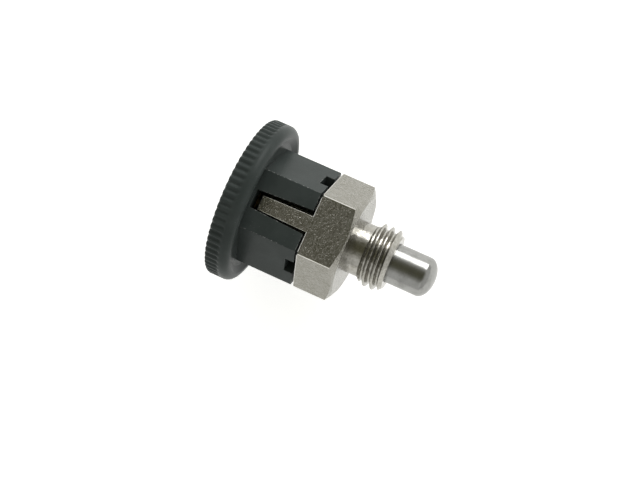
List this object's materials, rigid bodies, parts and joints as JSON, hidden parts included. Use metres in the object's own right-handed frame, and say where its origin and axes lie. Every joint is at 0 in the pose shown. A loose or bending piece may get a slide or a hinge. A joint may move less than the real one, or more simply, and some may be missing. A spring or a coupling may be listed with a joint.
{
  "type": "indexing plunger",
  "caption": "Hex-bodied spring plunger with a threaded shank, round-nosed locking pin and a knurled disc knob that parks in notches after a part turn.",
  "frame": {"origin": "on the plunger's axis, in the plane of the hexagon's front face that seats on the panel", "axes": "+X along the axis towards the pin's tip, +Z out of the hexagon flat that carries one tongue, +Y completing the right-handed frame"},
  "size_m": [0.0258, 0.0204, 0.0204],
  "materials": {
    "nickel_plated_guide": "satin nickel plate over turned and milled steel, fine grain, bright edges",
    "pin_steel": "ground and polished",
    "spring_wire": "drawn spring wire",
    "knob_plastic": "fine textured black moulding, lightly scuffed at the hub edges",
    "bush_brass": "turned",
    "fastener_steel": "zinc plated",
    "cap_plastic": "fine textured black moulding"
  },
  "bodies": {
    "housing": {"guide_body": "nickel_plated_guide"},
    "spring_seat": {"plunger_spring": "spring_wire"},
    "plunger": {"plunger_pin": "pin_steel", "knob": "knob_plastic", "knob_bush": "bush_brass", "retaining_washer": "fastener_steel", "retaining_screw": "fastener_steel", "knob_cap": "cap_plastic"}
  },
  "joints": [
    {"name": "knob_turn", "type": "hinge", "parent": "housing", "child": "spring_seat", "pos_m": [-0.008, 0, 0], "axis": [-1, 0, 0], "range_deg": [-3.6, 1]},
    {"name": "plunger_pull", "type": "slide", "parent": "spring_seat", "child": "plunger", "axis": [-1, 0, 0], "range_m": [0, 0.007], "stiffness_N_per_m": 700, "springref_m": -0.007, "deforming": ["plunger_spring"]}
  ]
}
